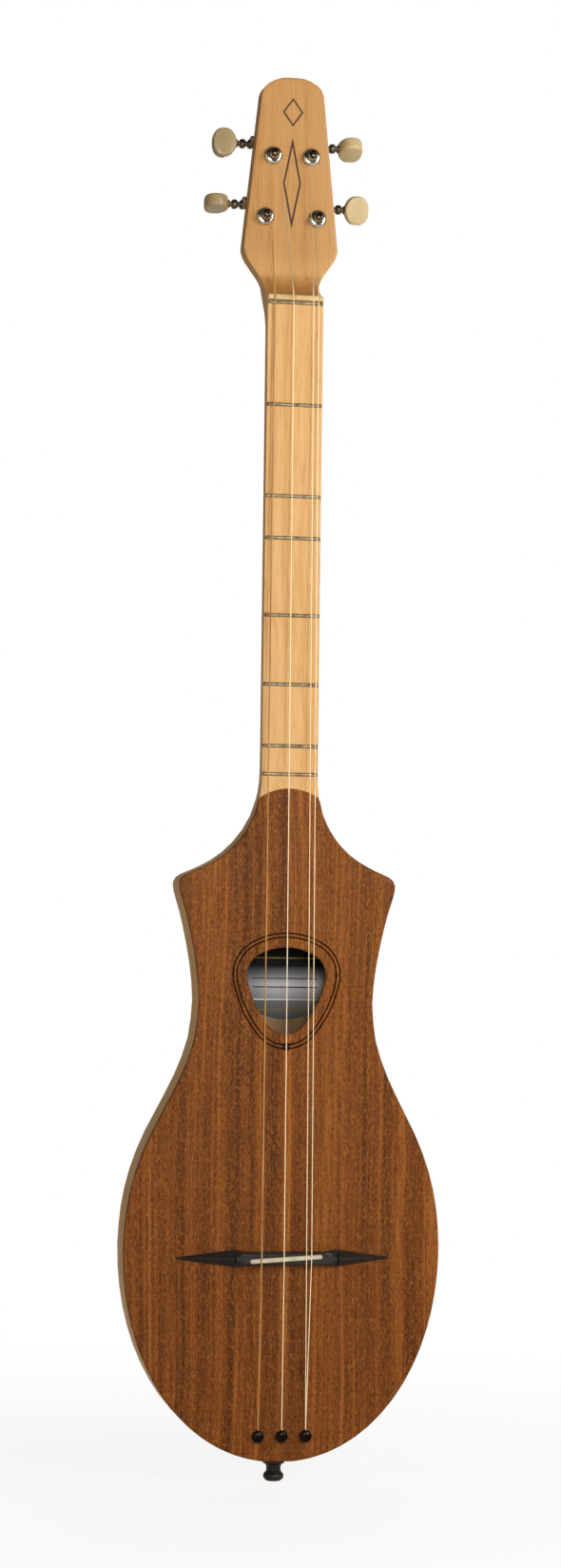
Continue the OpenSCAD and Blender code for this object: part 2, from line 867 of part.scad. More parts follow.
module tuner_gear_screw(t) {
    top = gear_y + gear_thickness;
    color(nickel)
    at_tuner(t)
        difference() {
            turned_y(0, 0, [[0, top - 4.6], [gear_screw_r, top - 4.6], [gear_screw_r, top], [3.1, top],
                            [3.1, top + 0.8], [2.4, top + 1.5], [0, top + 1.7]]);
            translate([-4, top + 1, -0.4])
                cube([8, 2, 0.8]);
        }
}

module tuner_bushing(t) {
    bore = post_r + run;
    color(chrome)
    at_tuner(t)
        turned_y(0, 0, [
            [bore, head_drop - 2.1], [4.2, head_drop - 2.1], [5.1, head_drop - 1.8], [5.8, head_drop - 1.1],
            [6.1, head_drop - 0.4], [6.1, head_drop], [bushing_tube_r, head_drop],
            [bushing_tube_r, bushing_tube_end], [bore, bushing_tube_end]
        ]);
}

// Turns of string laid side by side on the post
module tuner_windings(t) {
    r = string_r[t];
    first = wrap_start + 3 * r + 2 * run;
    turns = floor((wrap_end - first) / (1.9 * r));
    color(t == BASS ? bronze : steel)
    at_tuner(t)
        rotate([-90, 0, 0])
            rotate_extrude()
                for (i = [0 : turns - 1])
                    translate([post_waist_r + r, first + 1.9 * r * i])
                        circle(r = r, $fn = 16);
}

module plate_screws() {
    head_y = plank_depth + plate_thickness;
    color(nickel)
    for (t = [BASS : OUTER])
        for (dz = plate_screw_rise)
            at_tuner(t)
                difference() {
                    turned_y(0, dz, [[0, plank_depth - plate_screw_depth + 0.5],
                                     [plate_screw_r, plank_depth - plate_screw_depth + 2.5],
                                     [plate_screw_r, head_y], [2.4, head_y], [2.3, head_y + 0.7],
                                     [1.5, head_y + 1.3], [0, head_y + 1.5]]);
                    translate([0, head_y + 1.5, dz])
                        rotate([90, 0, 0])
                            cross_recess(2.6, 0.7);
                }
}

// The modules measure depth from the soundboard's face: this puts the plank's middle at y = 0
module placed() {
    translate([0, -plank_depth / 2, 0])
        children();
}

placed() body_neck_and_head();
placed() soundboard();
placed() brace_upper();
placed() brace_lower();
placed() bridge_plate();
placed() label();
placed() bridge();
placed() saddle();
placed() nut();
placed() zero_fret();
placed() frets();
placed() string_bass();
placed() string_middle();
placed() string_treble_inner();
placed() string_treble_outer();
placed() anchor_screws();
placed() end_pin();
placed() end_pin_screw();
placed() end_pin_felt();
placed() tuner_plate(BASS);  // bass_plate
placed() tuner_worm(BASS);  // bass_worm
placed() tuner_button(BASS);  // bass_button
placed() tuner_post(BASS);  // bass_post
placed() tuner_gear(BASS);  // bass_gear
placed() tuner_gear_screw(BASS);  // bass_gear_screw
placed() tuner_bushing(BASS);  // bass_bushing
placed() tuner_windings(BASS);  // bass_windings
placed() tuner_plate(MIDDLE);  // middle_plate
placed() tuner_worm(MIDDLE);  // middle_worm
placed() tuner_button(MIDDLE);  // middle_button
placed() tuner_post(MIDDLE);  // middle_post
placed() tuner_gear(MIDDLE);  // middle_gear
placed() tuner_gear_screw(MIDDLE);  // middle_gear_screw
placed() tuner_bushing(MIDDLE);  // middle_bushing
placed() tuner_windings(MIDDLE);  // middle_windings
placed() tuner_plate(INNER);  // inner_plate
placed() tuner_worm(INNER);  // inner_worm
placed() tuner_button(INNER);  // inner_button
placed() tuner_post(INNER);  // inner_post
placed() tuner_gear(INNER);  // inner_gear
placed() tuner_gear_screw(INNER);  // inner_gear_screw
placed() tuner_bushing(INNER);  // inner_bushing
placed() tuner_windings(INNER);  // inner_windings
placed() tuner_plate(OUTER);  // outer_plate
placed() tuner_worm(OUTER);  // outer_worm
placed() tuner_button(OUTER);  // outer_button
placed() tuner_post(OUTER);  // outer_post
placed() tuner_gear(OUTER);  // outer_gear
placed() tuner_gear_screw(OUTER);  // outer_gear_screw
placed() tuner_bushing(OUTER);  // outer_bushing
placed() tuner_windings(OUTER);  // outer_windings
placed() plate_screws();
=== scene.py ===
"""Looks of the stick dulcimer: materials, finer pieces, light and camera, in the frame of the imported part."""

import json
import math

import bmesh
import bpy
import numpy as np
from mathutils import Matrix, Vector
from mathutils.geometry import tessellate_polygon


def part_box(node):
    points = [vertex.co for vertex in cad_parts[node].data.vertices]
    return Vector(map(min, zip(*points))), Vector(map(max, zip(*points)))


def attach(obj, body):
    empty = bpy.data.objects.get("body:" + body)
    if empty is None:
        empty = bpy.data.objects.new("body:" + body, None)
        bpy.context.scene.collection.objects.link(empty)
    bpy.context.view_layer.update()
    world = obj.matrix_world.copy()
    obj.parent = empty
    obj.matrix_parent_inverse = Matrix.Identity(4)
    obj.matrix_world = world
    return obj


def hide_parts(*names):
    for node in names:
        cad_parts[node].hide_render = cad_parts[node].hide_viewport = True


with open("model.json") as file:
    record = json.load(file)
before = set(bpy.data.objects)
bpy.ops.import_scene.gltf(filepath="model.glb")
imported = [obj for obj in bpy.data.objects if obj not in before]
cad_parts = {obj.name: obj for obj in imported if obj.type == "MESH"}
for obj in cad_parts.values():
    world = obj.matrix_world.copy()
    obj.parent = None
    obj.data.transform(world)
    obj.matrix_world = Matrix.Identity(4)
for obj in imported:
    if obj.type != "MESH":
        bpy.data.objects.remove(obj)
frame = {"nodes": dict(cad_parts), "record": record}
bpy.context.view_layer.update()

MM = 0.001
TUNERS = ("bass", "middle", "inner", "outer")


def mid(node):
    """Middle of a CAD node's box."""
    low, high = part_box(node)
    return (low + high) / 2


# ---------- Mesh helpers ----------


def add_piece(name, points, faces, body="root", slot=None, stands_for=(), materials=(), face_materials=None):
    """A closed mesh as one piece that rides on a body."""
    mesh = bpy.data.meshes.new(name)
    mesh.from_pydata([tuple(p) for p in points], [], faces)
    for material in materials:
        mesh.materials.append(material)
    if face_materials:
        for polygon, index in zip(mesh.polygons, face_materials):
            polygon.material_index = index
    clean = bmesh.new()
    clean.from_mesh(mesh)
    bmesh.ops.remove_doubles(clean, verts=clean.verts, dist=1e-7)
    bmesh.ops.recalc_face_normals(clean, faces=clean.faces)
    clean.to_mesh(mesh)
    clean.free()
    piece = bpy.data.objects.new(name, mesh)
    bpy.context.scene.collection.objects.link(piece)
    for polygon in mesh.polygons:
        polygon.use_smooth = True
    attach(piece, body)
    if stands_for:
        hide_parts(*stands_for)
    return piece


class Shell:
    """Collects rings of points and the faces that join them."""

    def __init__(self):
        self.points = []
        self.faces = []
        self.materials = []

    def ring(self, points):
        start = len(self.points)
        self.points.extend(Vector(p) for p in points)
        return list(range(start, len(self.points)))

    def face(self, indices, material=0):
        self.faces.append(tuple(indices))
        self.materials.append(material)

    def join(self, a, b, material=0):
        n = len(a)
        for i in range(n):
            self.face((a[i], a[(i + 1) % n], b[(i + 1) % n], b[i]), material)

    def join_all(self, rings, material=0):
        for a, b in zip(rings, rings[1:]):
            self.join(a, b, material)

    def fill(self, loops, material=0):
        """Flat faces between an outer loop and the loops inside it."""
        flat = [i for loop in loops for i in loop]
        corners = [[Vector((self.points[i].x, self.points[i].z, 0)) for i in loop] for loop in loops]
        for triangle in tessellate_polygon(corners):
            self.face([flat[i] for i in triangle], material)

    def piece(self, name, **settings):
        return add_piece(name, self.points, self.faces, face_materials=self.materials, **settings)


def welded(node):
    """A CAD node's mesh with its split vertices joined."""
    mesh = bmesh.new()
    mesh.from_mesh(frame["nodes"][node].data)
    bmesh.ops.remove_doubles(mesh, verts=mesh.verts, dist=1e-6)
    mesh.verts.index_update()
    mesh.normal_update()
    return mesh


def front_loops(node):
    """The edges of a CAD node's front face as closed anticlockwise loops, the longest first."""
    mesh = welded(node)
    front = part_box(node)[0].y
    near = 1e-5

    def is_front(face):
        return face.normal.y < -0.99 and abs(face.calc_center_median().y - front) < near

    # a dictionary keeps the edges in order, so every run gives the same loops
    edges = {e: None for e in mesh.edges if sum(is_front(f) for f in e.link_faces) == 1}
    loops = []
    while edges:
        edge = next(iter(edges))
        del edges[edge]
        first, here = edge.verts
        loop = [first.co.copy()]
        while here is not first:
            loop.append(here.co.copy())
            edge = next(e for e in here.link_edges if e in edges)
            del edges[edge]
            here = edge.other_vert(here)
        loops.append(from_foot(anticlockwise(loop)))
    mesh.free()
    return sorted(loops, key=lambda points: (-round(perimeter(points), 5), points[0].x))


def from_foot(points):
    """A closed loop that starts at its lowest point, or at the left one of two."""
    start = min(range(len(points)), key=lambda i: (round(points[i].z, 6), round(points[i].x, 6)))
    return points[start:] + points[:start]


def perimeter(points):
    return sum((a - b).length for a, b in zip(points, points[1:] + points[:1]))


def resampled(points, spacing):
    """A closed loop with evenly spaced points."""
    count = max(12, round(perimeter(points) / spacing))
    step = perimeter(points) / count
    out, travelled, target = [], 0.0, 0.0
    for a, b in zip(points, points[1:] + points[:1]):
        length = (b - a).length
        while target < travelled + length - 1e-9 and len(out) < count:
            out.append(a.lerp(b, (target - travelled) / length))
            target += step
        travelled += length
    return out


def relaxed(points, times):
    """A closed loop with its small facets smoothed away."""
    for _ in range(times):
        n = len(points)
        smoothed = [points[i] * 0.5 + (points[i - 1] + points[(i + 1) % n]) * 0.25 for i in range(n)]
        # a second step outward keeps the loop from shrinking
        points = [
            smoothed[i] * 1.52 - (smoothed[i - 1] + smoothed[(i + 1) % n]) * 0.26
            for i in range(n)
        ]
    return points


def anticlockwise(points):
    area = sum(a.x * b.z - b.x * a.z for a, b in zip(points, points[1:] + points[:1]))
    return points if area > 0 else points[::-1]


def outward(points):
    """Unit normals in the XZ plane, pointing out of an anticlockwise loop."""
    n = len(points)
    normals = []
    for i in range(n):
        along = points[(i + 1) % n] - points[i - 1]
        normals.append(Vector((along.z, 0, -along.x)).normalized())
    return normals


def offset(points, normals, distance, depth):
    """A loop moved along its normals and set at a depth."""
    spans = distance if isinstance(distance, list) else [distance] * len(points)
    return [Vector((p.x + n.x * d, depth, p.z + n.z * d)) for p, n, d in zip(points, normals, spans)]


def smooth_shading(angle_deg):
    """A node group that welds split vertices, then shades smooth below an edge angle."""
    tree = bpy.data.node_groups.new(f"smooth_{angle_deg}", "GeometryNodeTree")
    tree.interface.new_socket("Geometry", in_out="INPUT", socket_type="NodeSocketGeometry")
    tree.interface.new_socket("Geometry", in_out="OUTPUT", socket_type="NodeSocketGeometry")

    def add(kind, **inputs):
        node = tree.nodes.new(kind)
        for key, value in inputs.items():
            node.inputs[key.replace("_", " ")].default_value = value
        return node

    start, end = add("NodeGroupInput"), add("NodeGroupOutput")
    drop = add("GeometryNodeRemoveAttribute", Name="custom_normal")
    weld = add("GeometryNodeMergeByDistance", Distance=1e-6)
    faces = add("GeometryNodeSetShadeSmooth", Shade_Smooth=True)
    edges = add("GeometryNodeSetShadeSmooth", Shade_Smooth=False)
    edges.domain = "EDGE"
    angle = add("GeometryNodeInputMeshEdgeAngle")
    compare = add("FunctionNodeCompare")
    compare.data_type, compare.operation = "FLOAT", "GREATER_THAN"
    compare.inputs["B"].default_value = math.radians(angle_deg)
    link = tree.links.new
    link(start.outputs[0], drop.inputs["Geometry"])
    link(drop.outputs["Geometry"], weld.inputs["Geometry"])
    link(weld.outputs["Geometry"], faces.inputs["Geometry"])
    link(faces.outputs["Geometry"], edges.inputs["Geometry"])
    link(angle.outputs["Unsigned Angle"], compare.inputs["A"])
    link(compare.outputs["Result"], edges.inputs["Selection"])
    link(edges.outputs["Geometry"], end.inputs[0])
    return tree


SMOOTH = {angle: smooth_shading(angle) for angle in (28, 40)}


def soften(piece, angle_deg=28, bevel=0.0):
    """Smooth shading with crisp edges, and a small bevel on those edges when asked."""
    smooth = piece.modifiers.new("smooth", "NODES")
    smooth.node_group = SMOOTH[angle_deg]
    if bevel:
        edge = piece.modifiers.new("bevel", "BEVEL")
        edge.width = bevel
        edge.segments = 2
        edge.limit_method = "ANGLE"
        edge.angle_limit = math.radians(angle_deg)
    weight = piece.modifiers.new("weighted", "WEIGHTED_NORMAL")
    weight.keep_sharp = True
    return piece


# ---------- Materials ----------


def colour(red, green, blue):
    """A colour given in display values of 0 to 255, as linear values."""
    linear = [c / 255 / 12.92 if c <= 10 else ((c / 255 + 0.055) / 1.055) ** 2.4 for c in (red, green, blue)]
    return (*linear, 1)


class Finish:
    """A material with helpers to add and join its nodes."""

    def __init__(self, name, **values):
        self.material = bpy.data.materials.new(name)
        self.material.use_nodes = True
        self.tree = self.material.node_tree
        self.tree.nodes.clear()
        output = self.tree.nodes.new("ShaderNodeOutputMaterial")
        self.surface = self.tree.nodes.new("ShaderNodeBsdfPrincipled")
        self.tree.links.new(self.surface.outputs[0], output.inputs[0])
        for key, value in values.items():
            self.surface.inputs[key.replace("_", " ")].default_value = value
        coordinates = self.tree.nodes.new("ShaderNodeTexCoord")
        self.place = self.vector("MULTIPLY", coordinates.outputs["Object"], (1 / MM,) * 3)
        self.axes = self.tree.nodes.new("ShaderNodeSeparateXYZ")
        self.tree.links.new(self.place, self.axes.inputs[0])
        self.x, self.y, self.z = self.axes.outputs

    def feed(self, socket, value):
        if isinstance(value, bpy.types.NodeSocket):
            self.tree.links.new(value, socket)
        else:
            socket.default_value = value

    def vector(self, operation, a, b):
        node = self.tree.nodes.new("ShaderNodeVectorMath")
        node.operation = operation
        self.feed(node.inputs[0], a)
        self.feed(node.inputs[1], b)
        return node.outputs[0]

    def math(self, operation, a, b=0.0, c=0.0):
        node = self.tree.nodes.new("ShaderNodeMath")
        node.operation = operation
        for socket, value in zip(node.inputs, (a, b, c)):
            self.feed(socket, value)
        return node.outputs[0]

    def noise(self, stretch, detail=2.0, roughness=0.5, distortion=0.0, place=None):
        """Noise whose cells per millimetre differ along X, Y and Z."""
        node = self.tree.nodes.new("ShaderNodeTexNoise")
        node.inputs["Scale"].default_value = 1
        node.inputs["Detail"].default_value = detail
        node.inputs["Roughness"].default_value = roughness
        node.inputs["Distortion"].default_value = distortion
        self.tree.links.new(self.vector("MULTIPLY", place or self.place, stretch), node.inputs["Vector"])
        return node.outputs["Fac"]

    def swayed(self, drift, reach):
        """The place with its X moved by up to half the reach either way, so that grain wanders."""
        node = self.tree.nodes.new("ShaderNodeCombineXYZ")
        sway = self.math("MULTIPLY", self.math("SUBTRACT", drift, 0.5), reach)
        for socket, value in zip(node.inputs, (self.math("ADD", self.x, sway), self.y, self.z)):
            self.feed(socket, value)
        return node.outputs[0]

    def span(self, value, low, high, to_low=0.0, to_high=1.0):
        """value moved from one range to another, smoothly and held inside it."""
        node = self.tree.nodes.new("ShaderNodeMapRange")
        node.interpolation_type = "SMOOTHSTEP"
        for socket, number in zip(node.inputs, (value, low, high, to_low, to_high)):
            self.feed(socket, number)
        return node.outputs[0]

    def ramp(self, value, *stops):
        node = self.tree.nodes.new("ShaderNodeValToRGB")
        elements = node.color_ramp.elements
        while len(elements) < len(stops):
            elements.new(1)
        for element, (position, tone) in zip(elements, stops):
            element.position = position
            element.color = tone
        self.tree.links.new(value, node.inputs[0])
        return node.outputs[0]

    def mix(self, share, a, b, blend="MIX"):
        node = self.tree.nodes.new("ShaderNodeMix")
        node.data_type = "RGBA"
        node.blend_type = blend
        for key, value in ((0, share), (6, a), (7, b)):
            self.feed(node.inputs[key], value)
        return node.outputs[2]

    def bump(self, height, strength, depth):
        """Relief of a depth in metres."""
        node = self.tree.nodes.new("ShaderNodeBump")
        node.inputs["Strength"].default_value = strength
        node.inputs["Distance"].default_value = depth
        self.tree.links.new(height, node.inputs["Height"])
        self.tree.links.new(node.outputs[0], self.surface.inputs["Normal"])

    def set(self, **values):
        for key, value in values.items():
            self.feed(self.surface.inputs[key.replace("_", " ")], value)
        return self.material


def lozenge(finish, across, along, centre_z, half_width, half_height, line):
    """1 on the outline of a diamond, else 0."""
    sideways = finish.math("DIVIDE", finish.math("ABSOLUTE", across), half_width)
    beyond = finish.math("ABSOLUTE", finish.math("SUBTRACT", along, centre_z))
    lengthways = finish.math("DIVIDE", beyond, half_height)
    distance = finish.math("ADD", sideways, lengthways)
    edge = finish.math("ABSOLUTE", finish.math("SUBTRACT", distance, 1))
    return finish.span(edge, line * 0.7, line * 1.1, 1, 0)


def maple_finish(with_marks):
    f = Finish("maple_satin" if with_marks else "maple_raw", Roughness=0.42, Specular_IOR_Level=0.2)
    bent = f.swayed(f.noise((0.004, 0.004, 0.006)), 22)
    bands = f.noise((0.16, 0.16, 0.004), detail=3, roughness=0.6, place=bent)
    fibres = f.noise((1.7, 1.7, 0.035), detail=4, roughness=0.65, place=bent)
    flakes = f.noise((2.2, 2.2, 0.35), detail=2)
    wood = f.ramp(
        bands,
        (0.28, colour(201, 150, 90)),
        (0.45, colour(217, 169, 107)),
        (0.62, colour(223, 178, 118)),
        (0.8, colour(207, 158, 97)),
    )
    wood = f.mix(f.span(fibres, 0.5, 0.68, 0, 0.6), wood, colour(178, 124, 66))
    wood = f.mix(f.span(flakes, 0.55, 0.75, 0, 0.18), wood, colour(234, 196, 142))
    height = f.math("ADD", f.math("MULTIPLY", fibres, 0.7), f.math("MULTIPLY", flakes, 0.3))
    if with_marks:
        head_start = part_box("nut")[1].z / MM
        # painted shade: the wood darker from the nut towards the tip of the head, where the light falls off
        head_painted_shade = f.span(f.z, head_start - 2, head_start + 40, 0, 0.6)
        wood = f.mix(head_painted_shade, wood, colour(208, 184, 150), blend="MULTIPLY")
        geometry = f.tree.nodes.new("ShaderNodeNewGeometry")
        facing = f.tree.nodes.new("ShaderNodeSeparateXYZ")
        f.tree.links.new(geometry.outputs["Normal"], facing.inputs[0])
        on_face = f.math("LESS_THAN", facing.outputs[1], -0.9)
        # painted shade at the foot of the scooped ramp, which faces upward behind the nut, away from the light
        upward = f.span(facing.outputs[2], 0.05, 0.4)
        cove_painted_shade = f.math("MULTIPLY", upward, f.span(f.z, head_start + 4, head_start + 26, 1, 0))
        cove_painted_shade = f.math("MULTIPLY", cove_painted_shade, f.math("GREATER_THAN", f.z, head_start - 1))
        wood = f.mix(cove_painted_shade, wood, colour(208, 190, 170), blend="MULTIPLY")
        # painted shade inside the chamber: its front-facing floor, deeper than the label's face, is darkened and cooled
        floor_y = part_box("label")[1].y / MM
        hollow_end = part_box("soundboard")[1].z / MM - 60
        below, short = f.math("GREATER_THAN", f.y, floor_y - 1), f.math("LESS_THAN", f.z, hollow_end)
        inside = f.math("MULTIPLY", below, short)
        hollow = f.math("MULTIPLY", on_face, inside)
        wood = f.mix(hollow, wood, colour(184, 186, 202), blend="MULTIPLY")
        low, high = mid("bass_bushing").z / MM, mid("middle_bushing").z / MM
        slim = lozenge(f, f.x, f.z, low + (high - low) * 0.56, 5.4, 27, 0.13)
        small = lozenge(f, f.x, f.z, high + (high - low) * 0.72, 6.2, 8.6, 0.12)
        mark = f.math("MULTIPLY", f.math("MAXIMUM", slim, small), on_face)
        wood = f.mix(f.math("MULTIPLY", mark, 0.93), wood, colour(52, 30, 18))
        height = f.math("SUBTRACT", height, f.math("MULTIPLY", mark, 3))
    f.bump(height, 0.35, 0.00008)
    rough = f.span(f.noise((0.05, 0.05, 0.03), detail=3), 0.3, 0.7, 0.36, 0.5)
    return f.set(Base_Color=wood, Roughness=rough, Coat_Weight=0.05, Coat_Roughness=0.3)


def mahogany_finish():
    f = Finish("mahogany_satin", Specular_IOR_Level=0.1)
    bent = f.swayed(f.noise((0.006, 0.006, 0.004), detail=1), 16)
    ribbons = f.noise((0.09, 0.09, 0.0014), detail=2, roughness=0.6, place=bent)
    streaks = f.noise((0.34, 0.34, 0.003), detail=3, roughness=0.65, place=bent)
    lines = f.noise((1.7, 1.7, 0.03), detail=3, roughness=0.65, place=bent)
    curl = f.noise((1.0, 1.0, 0.4), detail=3, roughness=0.6, distortion=1.2)
    pores = f.noise((2.4, 2.4, 0.3), detail=2, roughness=0.6, place=bent)
    tone = f.math("ADD", f.math("MULTIPLY", ribbons, 0.3), f.math("MULTIPLY", streaks, 0.34))
    tone = f.math("ADD", tone, f.math("MULTIPLY", lines, 0.36))
    wood = f.ramp(
        tone,
        (0.39, colour(70, 34, 9)),
        (0.465, colour(102, 55, 18)),
        (0.53, colour(130, 72, 25)),
        (0.61, colour(168, 102, 41)),
    )
    wood = f.mix(f.span(curl, 0.45, 0.7, 0, 0.6), wood, colour(180, 113, 46))
    wood = f.mix(f.span(pores, 0.52, 0.63, 0, 0.68), wood, colour(52, 22, 5))
    low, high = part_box("soundboard")
    foot, top = low.z / MM, high.z / MM
    # painted shade: the board darker towards its foot and a little lighter and cooler towards its top, as the light
    # falls off down the body
    lengthways = f.ramp(f.span(f.z, foot, top), (0, (0.93, 0.9, 0.88, 1)), (1, (1.02, 1.03, 1.05, 1)))
    wood = f.mix(1.0, wood, lengthways, blend="MULTIPLY")
    centre = ring_dot()
    aside = f.math("SUBTRACT", f.x, centre.x / MM)
    above = f.math("SUBTRACT", f.z, centre.z / MM)
    reach = f.math("SQRT", f.math("ADD", f.math("MULTIPLY", aside, aside), f.math("MULTIPLY", above, above)))
    dot = f.span(reach, 2.7, 3.1, 1, 0)
    wood = f.mix(f.math("MULTIPLY", dot, 0.92), wood, colour(38, 22, 15))
    height = f.math("SUBTRACT", f.math("MULTIPLY", curl, 0.3), f.math("MULTIPLY", f.span(pores, 0.5, 0.7), 0.8))
    height = f.math("SUBTRACT", height, f.math("MULTIPLY", dot, 2))
    f.bump(height, 0.45, 0.0001)
    rough = f.span(f.noise((0.04, 0.04, 0.02), detail=3), 0.3, 0.7, 0.4, 0.52)
    return f.set(Base_Color=wood, Roughness=rough, Coat_Weight=0.02, Coat_Roughness=0.35)


def burnt_finish():
    f = Finish("burnt_line", Roughness=0.9, Specular_IOR_Level=0.05)
    char = f.noise((1.2, 1.2, 1.2), detail=4)
    f.bump(char, 0.5, 0.0001)
    return f.set(Base_Color=f.ramp(char, (0.3, colour(22, 10, 4)), (0.7, colour(44, 22, 11))))


def spruce_finish():
    f = Finish("spruce_raw", Roughness=0.6)
    rings = f.noise((0.8, 0.12, 1.1), detail=4, roughness=0.6)
    f.bump(rings, 0.3, 0.0001)
    return f.set(Base_Color=f.ramp(rings, (0.35, colour(190, 150, 96)), (0.6, colour(224, 194, 142))))


def plastic_finish(name, dark, light, roughness, translucent, scale=0.12, specular=0.5):
    f = Finish(name, Specular_IOR_Level=specular)
    cloud = f.noise((scale, scale, scale), detail=3, roughness=0.6)
    scuffs = f.noise((1.1, 4.5, 1.6), detail=4, roughness=0.7)
    tone = f.ramp(cloud, (0.32, dark), (0.68, light))
    tone = f.mix(f.span(scuffs, 0.58, 0.8, 0, 0.25), tone, dark)
    f.bump(scuffs, 0.12, 0.00004)
    rough = f.span(scuffs, 0.35, 0.75, roughness - 0.06, roughness + 0.14)
    if translucent:
        f.set(Subsurface_Weight=translucent, Subsurface_Radius=(0.004, 0.003, 0.0018), Subsurface_Scale=0.6)
    return f.set(Base_Color=tone, Roughness=rough)


def metal_finish(name, dark, light, roughness, brushed=(0.6, 0.6, 0.6), relief=0.1, metallic=1.0):
    f = Finish(name, Metallic=metallic)
    cloud = f.noise((0.25, 0.25, 0.25), detail=4, roughness=0.65)
    marks = f.noise(brushed, detail=4, roughness=0.65)
    tone = f.ramp(cloud, (0.3, dark), (0.62, light))
    tone = f.mix(f.span(marks, 0.45, 0.8, 0, 0.35), tone, dark)
    f.bump(marks, relief, 0.00005)
    uneven = f.math("MULTIPLY", f.math("ADD", cloud, marks), 0.5)
    rough = f.span(uneven, 0.3, 0.7, roughness * 0.7, roughness * 1.5)
    return f.set(Base_Color=tone, Roughness=rough)


def string_finish(name, dark, light, roughness):
    """Bright wire, with a painted dark reflection where it bends down behind the nut and turns to the dark side of the
    room.
    """
    f = Finish(name, Metallic=0.1)
    marks = f.noise((4, 4, 0.2), detail=4, roughness=0.65)
    tone = f.ramp(marks, (0.3, dark), (0.7, light))
    head_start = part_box("nut")[1].z / MM
    # painted dark reflection: the wire's tone darkens behind the nut
    behind = f.span(f.z, head_start - 1, head_start + 12, 0, 0.7)
    tone = f.mix(behind, tone, colour(104, 80, 52))
    f.bump(marks, 0.1, 0.00005)
    # painted glint: the wire glows a little in its own tone
    f.set(Emission_Color=tone, Emission_Strength=0.3)
    return f.set(Base_Color=tone, Roughness=f.span(marks, 0.3, 0.7, roughness * 0.8, roughness * 1.3))


def wound_finish():
    """Bronze wire wound round a core: fine turns across the string."""
    f = Finish("bronze_wound", Metallic=0.15)
    pitch = 0.22
    turn = f.math("SINE", f.math("MULTIPLY", f.z, 2 * math.pi / pitch))
    tarnish = f.noise((0.3, 0.3, 0.02), detail=3)
    tone = f.ramp(tarnish, (0.3, colour(190, 130, 70)), (0.7, colour(240, 190, 122)))
    # painted shade in the grooves between the turns of the winding
    tone = f.mix(f.span(turn, -1, 0.2, 0.45, 0), tone, colour(110, 66, 32))
    f.bump(turn, 0.6, 0.00005)
    return f.set(Base_Color=tone, Roughness=f.span(tarnish, 0.3, 0.7, 0.3, 0.42))


def label_finish():
    """Printed foil: a dark head band, a silver field with two rules, and a dark foot."""
    f = Finish("label_print", Specular_IOR_Level=0.15)
    low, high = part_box("label")
    height = (high.z - low.z) / MM
    share = f.math("DIVIDE", f.math("SUBTRACT", f.z, low.z / MM), height)
    grey = colour(66, 66, 70)
    # height up the label, half-thickness and ink of each rule
    rules = (
        (0.203, 0.005, colour(226, 226, 224)),
        (0.33, 0.006, grey),
        (0.42, 0.006, grey),
        (0.63, 0.006, colour(150, 122, 52)),
        (0.1, 0.005, colour(130, 106, 46)),
    )
    rule_end = 21
    tone = f.ramp(
        share,
        (0.0, colour(84, 83, 79)),
        (0.19, colour(126, 125, 122)),
        (0.215, colour(168, 166, 170)),
        (0.36, colour(222, 220, 224)),
        (0.46, colour(144, 142, 148)),
        (0.55, colour(14, 13, 13)),
        (1.0, colour(8, 7, 6)),
    )
    centre = mid("label").x / MM
    shade = f.ramp(f.span(f.x, centre - 36, centre + 6), (0, (0.2, 0.2, 0.21, 1)), (1, (0.9, 0.9, 0.9, 1)))
    tone = f.mix(1.0, tone, shade, blend="MULTIPLY")
    aside = f.math("ABSOLUTE", f.math("SUBTRACT", f.x, centre))
    sides = f.span(aside, rule_end, rule_end + 0.5, 1, 0)
    for place, thickness, ink in rules:
        gap = f.math("ABSOLUTE", f.math("SUBTRACT", share, place))
        rule = f.span(gap, thickness * 0.8, thickness * 1.3, 1, 0)
        tone = f.mix(f.math("MULTIPLY", rule, sides), tone, ink)
    sheen = f.noise((0.4, 0.4, 0.1), detail=3)
    f.bump(sheen, 0.1, 0.0001)
    return f.set(Base_Color=tone, Roughness=f.span(sheen, 0.3, 0.7, 0.3, 0.45), Metallic=0.25)


def felt_finish():
    f = Finish("felt_black", Roughness=0.95, Sheen_Weight=0.4)
    fuzz = f.noise((5, 5, 5), detail=4, roughness=0.7)
    f.bump(fuzz, 0.8, 0.0002)
    return f.set(Base_Color=f.ramp(fuzz, (0.3, colour(16, 15, 15)), (0.7, colour(46, 44, 43))))


# ---------- Soundboard ----------

outline_loop, hole_loop, *pin_loops = front_loops("soundboard")
hole_loop = relaxed(resampled(hole_loop, 1.2 * MM), 4)
ring_offsets = (6.7 * MM, 9.2 * MM)


def ring_dot():
    """Centre of the dot at the foot of the two lines round the sound hole."""
    foot = min(hole_loop, key=lambda p: p.z)
    return Vector((foot.x, foot.y, foot.z - sum(ring_offsets) / 2))


